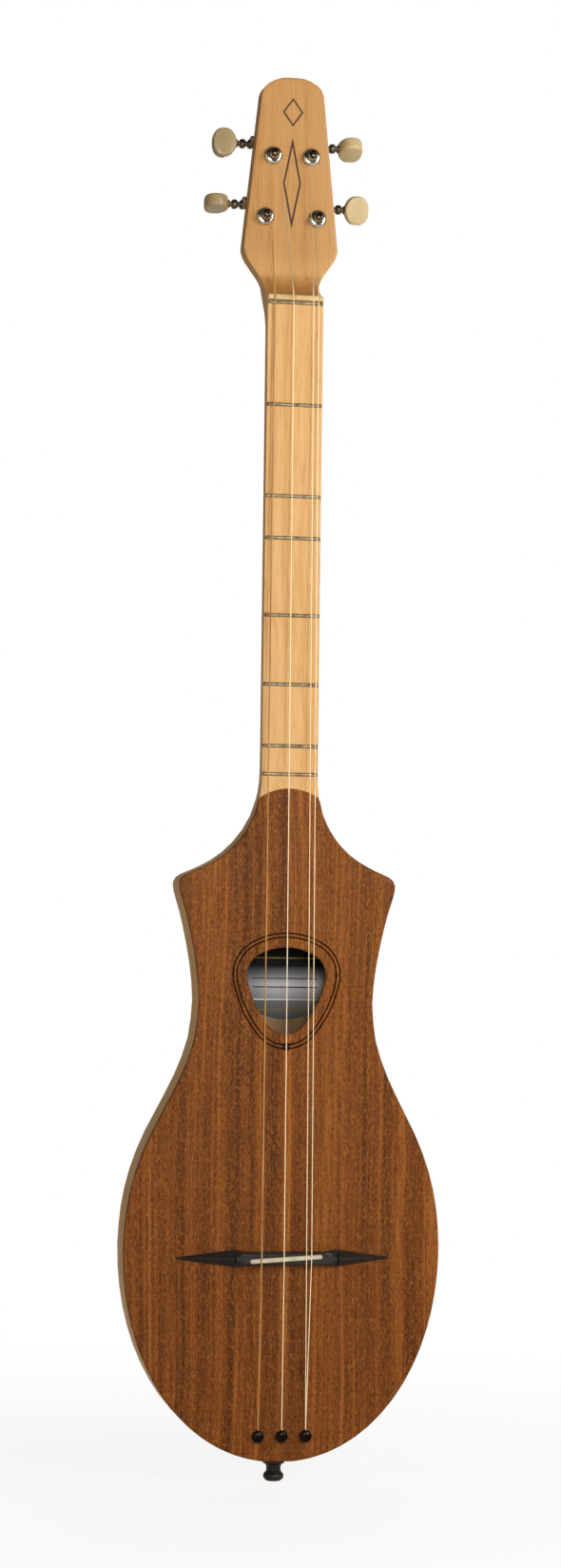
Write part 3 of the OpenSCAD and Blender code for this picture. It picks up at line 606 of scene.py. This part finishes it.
def soundboard_panel():
    low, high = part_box("soundboard")
    shell = Shell()
    edge_round, hole_round, seam = 1.1 * MM, 1.0 * MM, 0.1 * MM
    groove_half, groove_flat, groove_depth = 0.48 * MM, 0.3 * MM, 0.35 * MM
    rounding = [math.radians(a) for a in (90, 66, 44, 22, 0)]

    outer = relaxed(resampled(outline_loop, 2.4 * MM), 3)
    normals = outward(outer)
    # the arched end of the tongue lies flush in the neck, so its edge stays crisp
    tongue = high.z - 7 * MM
    radii = [seam if p.z > tongue and n.z > 0.35 else edge_round for p, n in zip(outer, normals)]
    for _ in range(2):
        radii = [(radii[i - 1] + radii[i] * 2 + radii[(i + 1) % len(radii)]) / 4 for i in range(len(radii))]
    rings = []
    for a in rounding:
        inset = [-r * (1 - math.cos(a)) for r in radii]
        points = offset(outer, normals, inset, 0)
        for point, r in zip(points, radii):
            point.y = low.y + r * (1 - math.sin(a))
        rings.append(shell.ring(points))
    rings.append(shell.ring(offset(outer, normals, 0, high.y)))
    shell.join_all(rings)

    hole_normals = outward(hole_loop)
    hole_rings = [shell.ring(offset(hole_loop, hole_normals, 0, high.y))]
    for a in reversed(rounding):
        across, depth = hole_round * (1 - math.cos(a)), low.y + hole_round * (1 - math.sin(a))
        hole_rings.append(shell.ring(offset(hole_loop, hole_normals, across, depth)))
    shell.join_all(hole_rings)
    inner = hole_rings[-1]
    for centre in ring_offsets:
        lips = [
            shell.ring(offset(hole_loop, hole_normals, centre + across, low.y + depth))
            for across, depth in (
                (-groove_half, 0),
                (-groove_flat, groove_depth),
                (groove_flat, groove_depth),
                (groove_half, 0),
            )
        ]
        shell.join(inner, lips[0])
        shell.join_all(lips, material=1)
        inner = lips[-1]

    front_pins, back_pins = [], []
    for loop in pin_loops:
        loop = resampled(loop, 0.4 * MM)
        front_pins.append(shell.ring([Vector((p.x, low.y, p.z)) for p in loop]))
        back_pins.append(shell.ring([Vector((p.x, high.y, p.z)) for p in loop]))
        shell.join(front_pins[-1], back_pins[-1])
    shell.fill([rings[0], inner] + front_pins)
    shell.fill([rings[-1], hole_rings[0]] + back_pins)
    panel = shell.piece(
        "soundboard_panel",
        slot="mahogany",
        stands_for=("soundboard",),
        materials=(MATERIALS["mahogany"], burnt_finish()),
    )
    return soften(panel, 40)


# ---------- Bridge, saddle and nut ----------


def mixed(a, b, share):
    return a + (b - a) * share


def eased(value, start, end):
    share = min(1, max(0, (value - start) / (end - start)))
    return share * share * (3 - 2 * share)


def bridge_carved():
    """A bar with a wing on either side: each wing is a ridge that runs out to a point."""
    low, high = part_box("bridge")
    centre_z, seat = (low.z + high.z) / 2, high.y
    height = seat - low.y
    root_half, reach = (high.z - low.z) / 2, high.x
    bar_half_width = 4.0 * MM
    side_height, tip_height, tip_half = 1.5 * MM, 0.7 * MM, 0.5 * MM
    # the wings begin a little to the right of the middle, under the strings
    bar_ends = {-1: 23.5 * MM, 1: 25.5 * MM}
    roots = {-1: 31.4 * MM, 1: 35.0 * MM}
    nick, nick_depth = 0.5 * MM, 4.6 * MM

    def section(x, winged):
        """Half of the cross-section at x, from the foot up to the crest."""
        side_of = -1 if x < 0 else 1
        u, bar_end, root = abs(x), bar_ends[side_of], roots[side_of]
        if winged:
            share = (u - root) / (reach - root)
            half = mixed(root_half, tip_half, share)
            side = mixed(side_height, tip_height * 0.4, share)
            flat = mixed(0.25 * MM, 0.1 * MM, share)
            crest = mixed(height, tip_height, share ** 1.06)
            middle = ((half + flat) / 2, (side + crest) / 2)
        else:
            share = eased(u, bar_end, root)
            half = mixed(bar_half_width, root_half, share)
            side = mixed(height - 0.9 * MM, 2.2 * MM, share)
            flat = mixed(3.1 * MM, 0.7 * MM, share)
            crest = height - 0.5 * MM * math.sin(math.pi * share)
            middle = ((half + flat) / 2 + 0.1 * MM, mixed(height - 0.4 * MM, (side + crest) / 2 - 0.3 * MM, share))
        return [(half, 0), (half, side), middle, (flat, crest)]

    def half_ring(half, x):
        points = [Vector((x, seat - h, centre_z + w)) for w, h in half]
        return points + [Vector((x, seat - h, centre_z - w)) for w, h in reversed(half)]

    def stations(side_of):
        """Cross-sections from the middle out to one tip, with a fine cut where the wing begins."""
        bar_end, root = bar_ends[side_of], roots[side_of]
        steps = [(u, False, None) for u in np.linspace(0, bar_end, 5)]
        steps += [(u, False, None) for u in np.linspace(bar_end, root - nick, 8)[1:]]
        steps += [(root - nick, False, height - nick_depth), (root + nick, True, height - nick_depth)]
        steps += [(u, True, None) for u in np.linspace(root + nick, reach, 9)]
        return [(side_of * u, winged, cap) for u, winged, cap in steps]

    shell = Shell()
    rings = []
    for x, winged, cap in stations(-1)[:0:-1] + stations(1):
        half = section(x, winged)
        if cap:
            # the cut is level, so everything above it is pushed down to its floor
            half = [(w, min(h, cap)) for w, h in half]
            half[-1] = (half[-1][0], cap)
        rings.append(shell.ring(half_ring(half, x)))
    shell.join_all(rings)
    shell.face(rings[0])
    shell.face(rings[-1][::-1])
    bridge = shell.piece(
        "bridge_carved",
        slot="black_plastic",
        stands_for=("bridge",),
        materials=(MATERIALS["black_plastic"],),
    )
    cut_slot(bridge)
    return soften(bridge, 28, bevel=0.2 * MM)


def main_axis(node, axes):
    """Direction of a CAD node's greatest length, seen along the axis that is left out."""
    mesh = welded(node)
    points = np.array([[v.co[a] for a in axes] for v in mesh.verts])
    mesh.free()
    direction = np.linalg.svd(points - (points.min(0) + points.max(0)) / 2, full_matrices=False)[2][0]
    return direction if direction[0] > 0 else -direction


def capsule(centre, along, half_length, radius, depth, steps=12):
    """A closed loop in the XZ plane: two half circles joined by straight sides."""
    across = Vector((-along.z, 0, along.x))
    points = []
    for sign in (1, -1):
        for i in range(steps + 1):
            a = math.pi * (i / steps - 0.5)
            points.append(
                centre + sign * along * (half_length + radius * math.cos(a)) + sign * across * radius * math.sin(a)
            )
    return [Vector((p.x, depth, p.z)) for p in points]


def saddle_frame():
    low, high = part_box("saddle")
    direction = main_axis("saddle", (0, 2))
    along = Vector((direction[0], 0, direction[1]))
    radius = 1.4 * MM
    half_length = (high.x - low.x) / 2 - radius
    return (low + high) / 2, along, half_length / max(1e-6, along.x), radius, low.y, high.y


def cut_slot(bridge):
    """Cuts the saddle's slot into the bridge."""
    centre, along, half_length, radius, crest, foot = saddle_frame()
    shell = Shell()
    rings = [shell.ring(capsule(centre, along, half_length, radius, depth)) for depth in (crest, foot)]
    shell.join_all(rings)
    shell.face(rings[0])
    shell.face(rings[1][::-1])
    cutter = shell.piece("slot_cutter")
    modifier = bridge.modifiers.new("slot", "BOOLEAN")
    modifier.operation, modifier.solver, modifier.object = "DIFFERENCE", "EXACT", cutter
    bpy.context.view_layer.update()
    graph = bpy.context.evaluated_depsgraph_get()
    bridge.data = bpy.data.meshes.new_from_object(bridge.evaluated_get(graph))
    bridge.modifiers.clear()
    bpy.data.objects.remove(cutter)


def saddle_crowned():
    centre, along, half_length, radius, crest, foot = saddle_frame()
    shell = Shell()
    crown = 0.9 * MM
    rings = [shell.ring(capsule(centre, along, half_length, radius, foot))]
    for a in (0, 20, 40, 58, 74):
        angle = math.radians(a)
        depth = crest + crown * (1 - math.sin(angle))
        rings.append(shell.ring(capsule(centre, along, half_length, radius * math.cos(angle), depth)))
    shell.join_all(rings)
    shell.face(rings[0])
    shell.face(rings[-1][::-1])
    piece = shell.piece(
        "saddle_crowned",
        slot="cream_plastic",
        stands_for=("saddle",),
        materials=(MATERIALS["cream_plastic"],),
    )
    return soften(piece, 40)


def string_line(node):
    """The middle line of a CAD string, from its eye to its post, and its radius."""
    mesh = welded(node)
    sides = 8
    layer = sorted(mesh.verts, key=lambda v: -v.co.z)[:sides]
    seen, rings = set(layer), []
    while layer:
        rings.append([v.co.copy() for v in layer])
        following = {e.other_vert(v) for v in layer for e in v.link_edges} - seen
        seen |= following
        layer = sorted(following, key=lambda v: v.index)
    mesh.free()
    line = [sum(ring, Vector()) / len(ring) for ring in rings]
    radius = max((p - line[2]).length for p in rings[2])
    return line[::-1], radius


def nut_grooved():
    """A bar with a round front edge and a notch under each string."""
    low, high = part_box("nut")
    shell = Shell()
    corner = 0.7 * MM
    notches = []
    for name in STRINGS:
        line, radius = LINES[name]
        at = min(range(len(line)), key=lambda i: abs(line[i].z - high.z))
        notches.append((line[at].x, radius + 0.12 * MM))
    places = set(np.linspace(low.x + 0.3 * MM, high.x - 0.3 * MM, 25))
    for x, half in notches:
        places |= {x + half * share for share in (-1.5, -1, -0.6, 0, 0.6, 1, 1.5)}
    places |= {low.x, high.x}
    rings = []
    deepest = 1.4 * MM
    for x in sorted(places):
        dip = max(max(0, 1 - ((x - centre) / (half * 1.3)) ** 2) ** 0.5 for centre, half in notches) * deepest
        end = 0.3 * MM if x in (low.x, high.x) else 0
        top = low.y + dip + end
        r = min(corner, (high.y - top) / 3)
        section = [(high.y, low.z + end), (top + r, low.z + end)]
        for a in (30, 60, 90):
            angle = math.radians(a)
            section.append((top + r * (1 - math.sin(angle)), low.z + end + r * (1 - math.cos(angle))))
        mirrored = [(y, low.z + high.z - z) for y, z in reversed(section)]
        rings.append(shell.ring([Vector((x, y, z)) for y, z in section + mirrored]))
    shell.join_all(rings)
    shell.face(rings[0])
    shell.face(rings[-1][::-1])
    piece = shell.piece(
        "nut_grooved",
        slot="cream_plastic",
        stands_for=("nut",),
        materials=(MATERIALS["nut_plastic"],),
    )
    return soften(piece, 28)


# ---------- Strings ----------

STRINGS = {
    "string_bass": "bronze_string",
    "string_middle": "plain_string",
    "string_treble_inner": "plain_string",
    "string_treble_outer": "plain_string",
}
LINES = {name: string_line(name) for name in STRINGS}


def rounded_line(points, reach, times=2):
    """An open line with its corners rounded off."""
    for _ in range(times):
        out = [points[0]]
        for before, here, after in zip(points, points[1:], points[2:]):
            back, ahead = before - here, after - here
            out.append(here + back.normalized() * min(reach, back.length * 0.3))
            out.append(here + ahead.normalized() * min(reach, ahead.length * 0.3))
        out.append(points[-1])
        points = out
        reach *= 0.4
    return points


def swept_string(name, material, sides=12):
    line, radius = LINES[name]
    line = rounded_line(line, 1.0 * MM)
    # drawn a little thicker than life so that it shows, but not where it meets its post
    thicker = 1.3
    radii = [radius * thicker] * (len(line) - 1) + [radius]
    shell = Shell()
    rings = []
    out = Vector((0, -1, 0))
    for i, point in enumerate(line):
        along = (line[min(i + 1, len(line) - 1)] - line[max(i - 1, 0)]).normalized()
        across = along.cross(out).normalized()
        out = across.cross(along)
        rings.append(
            shell.ring(
                [
                    point + radii[i] * (math.cos(a) * across + math.sin(a) * out)
                    for a in (2 * math.pi * k / sides for k in range(sides))
                ]
            )
        )
    shell.join_all(rings)
    shell.face(rings[0])
    shell.face(rings[-1][::-1])
    piece = shell.piece(name + "_drawn", slot=STRINGS[name], stands_for=(name,), materials=(material,))
    return soften(piece, 40)


# ---------- Tuner buttons ----------


def button_oval(tuner):
    """A thin oval pillow with a short neck where the shaft enters it."""
    node = f"{tuner}_button"
    low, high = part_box(node)
    centre = (low + high) / 2
    half_length = (high.x - low.x) / 2
    direction = main_axis(node, (1, 2))
    tall = Vector((0, direction[0], direction[1]))
    thin = Vector((0, -direction[1], direction[0]))
    half_height, half_thick = 9.6 * MM, 4.4 * MM
    steps, squareness = 40, 2.35
    inward = -1 if centre.x > 0 else 1
    neck_reach = 0.9 * MM

    def loop(share, height):
        points = []
        for i in range(steps):
            a = 2 * math.pi * i / steps
            c, s = math.cos(a), math.sin(a)
            u = math.copysign(abs(c) ** (2 / squareness), c) * half_length * share
            v = math.copysign(abs(s) ** (2 / squareness), s) * half_height * share
            # a small shoulder where the shaft goes in
            near = max(0.0, c * inward) ** 10
            u += inward * near * neck_reach * share
            points.append(centre + Vector((u, 0, 0)) + tall * v * (1 - 0.1 * near) + thin * height)
        return points

    shell = Shell()
    rings = []
    # share of the outline and share of the half-thickness, from the face to the rim
    profile = [(0.3, 1.0), (0.6, 0.995), (0.78, 0.975), (0.89, 0.95)]
    profile += [(0.95, 0.86), (0.985, 0.68), (1.0, 0.4), (1.0, 0.0)]
    for share, height in profile:
        rings.append(shell.ring(loop(share, height * half_thick)))
    for share, height in reversed(profile[:-1]):
        rings.append(shell.ring(loop(share, -height * half_thick)))
    shell.join_all(rings)
    shell.face(rings[0])
    shell.face(rings[-1][::-1])
    piece = shell.piece(
        f"{tuner}_button_oval",
        body=f"{tuner}_knob",
        slot="button_plastic",
        stands_for=(node,),
        materials=(MATERIALS[FINISH_OF.get(node, "button_plastic")],),
    )
    smooth = piece.modifiers.new("round", "SUBSURF")
    smooth.levels = smooth.render_levels = 1
    return piece


# ---------- The object ----------

MATERIALS = {
    "maple": maple_finish(with_marks=True),
    "maple_raw": maple_finish(with_marks=False),
    "mahogany": mahogany_finish(),
    "spruce": spruce_finish(),
    "label_foil": label_finish(),
    "black_plastic": plastic_finish("composite_black", colour(19, 16, 13), colour(36, 31, 26), 0.42, 0, specular=0.42),
    "cream_plastic": plastic_finish("cream_saddle", colour(182, 172, 144), colour(218, 208, 182), 0.34, 0.08),
    "nut_plastic": plastic_finish("cream_nut", colour(196, 162, 108), colour(226, 196, 144), 0.34, 0.08),
    "button_plastic": plastic_finish("cream_button", colour(196, 172, 124), colour(216, 194, 148), 0.26, 0.25, 0.05),
    # painted shade: a darker copy of the cream button finish, for the buttons that sit in the head's shade
    "button_painted_shade": plastic_finish("cream_button_painted_shade", colour(156, 134, 94), colour(178, 156, 114), 0.26, 0.25, 0.05),
    "fret_wire": metal_finish("fret_nickel", colour(120, 108, 84), colour(186, 172, 144), 0.3, (0.2, 6, 6)),
    "bronze_string": wound_finish(),
    # the plain strings' cream tone is partly their steel and partly painted glint, lighter than bare steel
    "plain_string": string_finish("steel_string", colour(226, 198, 156), colour(255, 234, 196), 0.3),
    "black_steel": metal_finish("steel_black", colour(16, 13, 12), colour(44, 38, 35), 0.26),
    "nickel": metal_finish("nickel_aged", colour(58, 48, 38), colour(140, 126, 104), 0.3),
    "gear_steel": metal_finish("gear_brass", colour(116, 92, 56), colour(196, 166, 112), 0.34, (0.4, 6, 0.4)),
    "chrome": metal_finish("chrome_bright", colour(176, 166, 146), colour(222, 214, 196), 0.1, relief=0.03),
    # painted dark reflection: the posts' metal is darkened to show the dark reflection on their tops
    "post_dark": metal_finish("post_painted_reflection", colour(62, 52, 42), colour(110, 96, 78), 0.16, relief=0.04),
    "black_felt": felt_finish(),
}

# Nodes whose looks differ from their slot's
# the bass and middle buttons take the painted-shade copy of the cream button finish
FINISH_OF = {"bridge_plate": "maple_raw", "bass_button": "button_painted_shade", "middle_button": "button_painted_shade"}
# the posts take the painted dark reflection finish
FINISH_OF |= {f"{tuner}_post": "post_dark" for tuner in TUNERS}

for part in frame["record"]["subparts"]:
    node = frame["nodes"][part["node"]]
    finish_name = FINISH_OF.get(part["node"], part["material_slot"])
    material = MATERIALS[finish_name]
    for slot in node.material_slots:
        slot.material = material
    soften(node)

soundboard_panel()
bridge_carved()
saddle_crowned()
nut_grooved()
for name in STRINGS:
    swept_string(name, MATERIALS[STRINGS[name]])
for tuner in TUNERS:
    button_oval(tuner)

# ---------- Floor, light and camera ----------

scene = bpy.context.scene


def pale_floor():
    """A wide pale floor that fades into the white backdrop away from the object."""
    shell = Shell()
    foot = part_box("end_pin")[0].z
    sizes = (0.05, 0.2, 0.6, 1.5, 4, 12, 40)
    rings = [
        shell.ring([(r * math.cos(a), r * math.sin(a), foot) for a in np.linspace(0, 2 * math.pi, 65)[:-1]])
        for r in sizes
    ]
    shell.join_all(rings)
    shell.face(rings[0])
    mesh = bpy.data.meshes.new("floor")
    mesh.from_pydata([tuple(p) for p in shell.points], [], shell.faces)
    floor = bpy.data.objects.new("floor", mesh)
    scene.collection.objects.link(floor)
    f = Finish("floor_paper", Roughness=0.9)
    grain = f.noise((0.3, 0.3, 0.3), detail=3)
    f.bump(grain, 0.1, 0.0002)
    f.set(Base_Color=f.ramp(grain, (0.3, colour(236, 236, 235)), (0.7, colour(243, 243, 242))))
    glow = f.tree.nodes.new("ShaderNodeEmission")
    glow.inputs["Color"].default_value = (1, 1, 1, 1)
    rays = f.tree.nodes.new("ShaderNodeLightPath")
    distance = f.math("SQRT", f.math("ADD", f.math("MULTIPLY", f.x, f.x), f.math("MULTIPLY", f.y, f.y)))
    backdrop = f.tree.nodes.new("ShaderNodeMixShader")
    share = f.math("MULTIPLY", rays.outputs["Is Camera Ray"], f.span(distance, 60, 700, 0.86, 1))
    f.tree.links.new(share, backdrop.inputs[0])
    f.tree.links.new(f.surface.outputs[0], backdrop.inputs[1])
    f.tree.links.new(glow.outputs[0], backdrop.inputs[2])
    output = next(n for n in f.tree.nodes if n.type == "OUTPUT_MATERIAL")
    f.tree.links.new(backdrop.outputs[0], output.inputs[0])
    mesh.materials.append(f.material)


def studio_world():
    """White behind the object; for light and reflections, soft sides round a dimmer front."""
    world = bpy.data.worlds.new("studio")
    scene.world = world
    world.use_nodes = True
    tree = world.node_tree
    tree.nodes.clear()
    add, link = tree.nodes.new, tree.links.new
    place = add("ShaderNodeTexCoord")
    axes = add("ShaderNodeSeparateXYZ")
    link(place.outputs["Generated"], axes.inputs[0])
    tones = add("ShaderNodeMapRange")
    tones.interpolation_type = "SMOOTHSTEP"
    for socket, number in zip(tones.inputs[1:5], (-0.95, -0.1, 0.07, 0.42)):
        socket.default_value = number
    link(axes.outputs[1], tones.inputs[0])
    level = tones
    # brighter to the right and below, as over a white table
    for axis, numbers in ((0, (-1, 1, 0.3, 1.1)), (2, (-0.5, 0.5, 1.5, 0.7))):
        share = add("ShaderNodeMapRange")
        for socket, number in zip(share.inputs[1:5], numbers):
            socket.default_value = number
        link(axes.outputs[axis], share.inputs[0])
        product = add("ShaderNodeMath")
        product.operation = "MULTIPLY"
        link(level.outputs[0], product.inputs[0])
        link(share.outputs[0], product.inputs[1])
        level = product
    soft, white, rays, mix, out = (
        add("ShaderNodeBackground"),
        add("ShaderNodeBackground"),
        add("ShaderNodeLightPath"),
        add("ShaderNodeMixShader"),
        add("ShaderNodeOutputWorld"),
    )
    soft.inputs[0].default_value = (1, 0.97, 0.91, 1)
    link(level.outputs[0], soft.inputs[1])
    white.inputs[0].default_value = (1, 1, 1, 1)
    link(rays.outputs["Is Camera Ray"], mix.inputs[0])
    link(soft.outputs[0], mix.inputs[1])
    link(white.outputs[0], mix.inputs[2])
    link(mix.outputs[0], out.inputs[0])


def softbox(name, place, target, width, height, power, tint):
    light = bpy.data.lights.new(name, "AREA")
    light.shape = "RECTANGLE"
    light.size, light.size_y = width, height
    light.energy = power
    light.color = tint
    lamp = bpy.data.objects.new(name, light)
    scene.collection.objects.link(lamp)
    lamp.location = place
    lamp.rotation_euler = (Vector(place) - Vector(target)).to_track_quat("Z", "Y").to_euler()


def photo_camera():
    """Looks up a little at the middle of the instrument from its left, slightly rolled."""
    target = Vector((-6.06, -20, 430.2)) * MM
    distance = 2.0644
    azimuth, elevation, roll = (math.radians(a) for a in (-10.2226, -2.286, 0.9152))
    level = math.cos(elevation)
    back = Vector((math.sin(azimuth) * level, -math.cos(azimuth) * level, math.sin(elevation)))
    right = (-back).cross(Vector((0, 0, 1))).normalized()
    up = right.cross(-back)
    turned_right = right * math.cos(roll) + up * math.sin(roll)
    turned_up = up * math.cos(roll) - right * math.sin(roll)
    lens = bpy.data.cameras.new("photo")
    # focal length in picture heights, from the perspective of the frets and the outline
    picture_heights = 2.0594906
    lens.sensor_width = 36
    lens.lens = lens.sensor_width * picture_heights
    lens.clip_start, lens.clip_end = 0.05, 100
    camera = bpy.data.objects.new("photo", lens)
    camera.matrix_world = Matrix(
        [
            [turned_right.x, turned_up.x, back.x, 0],
            [turned_right.y, turned_up.y, back.y, 0],
            [turned_right.z, turned_up.z, back.z, 0],
            [0, 0, 0, 1],
        ]
    )
    camera.location = target + back * distance
    scene.collection.objects.link(camera)
    scene.camera = camera


pale_floor()
studio_world()
# name, place, target, width, height, power, tint
softbox("key", (0.9, -1.35, 1.0), (0, 0, 0.5), 0.6, 0.9, 18.5, (1, 0.985, 0.96))
softbox("front", (-0.15, -2.3, 0.75), (0, 0, 0.4), 0.5, 0.5, 13.5, (1, 1, 1))
softbox("fill", (-1.3, -1.1, 0.5), (0, 0, 0.4), 0.8, 1.4, 3.6, (1, 0.84, 0.48))
softbox("back", (0.7, 1.9, 0.9), (0, 0, 0.45), 0.9, 1.2, 14, (1, 0.97, 0.92))
photo_camera()
scene.view_settings.view_transform = "Standard"
scene.view_settings.look = "None"

bpy.context.view_layer.update()
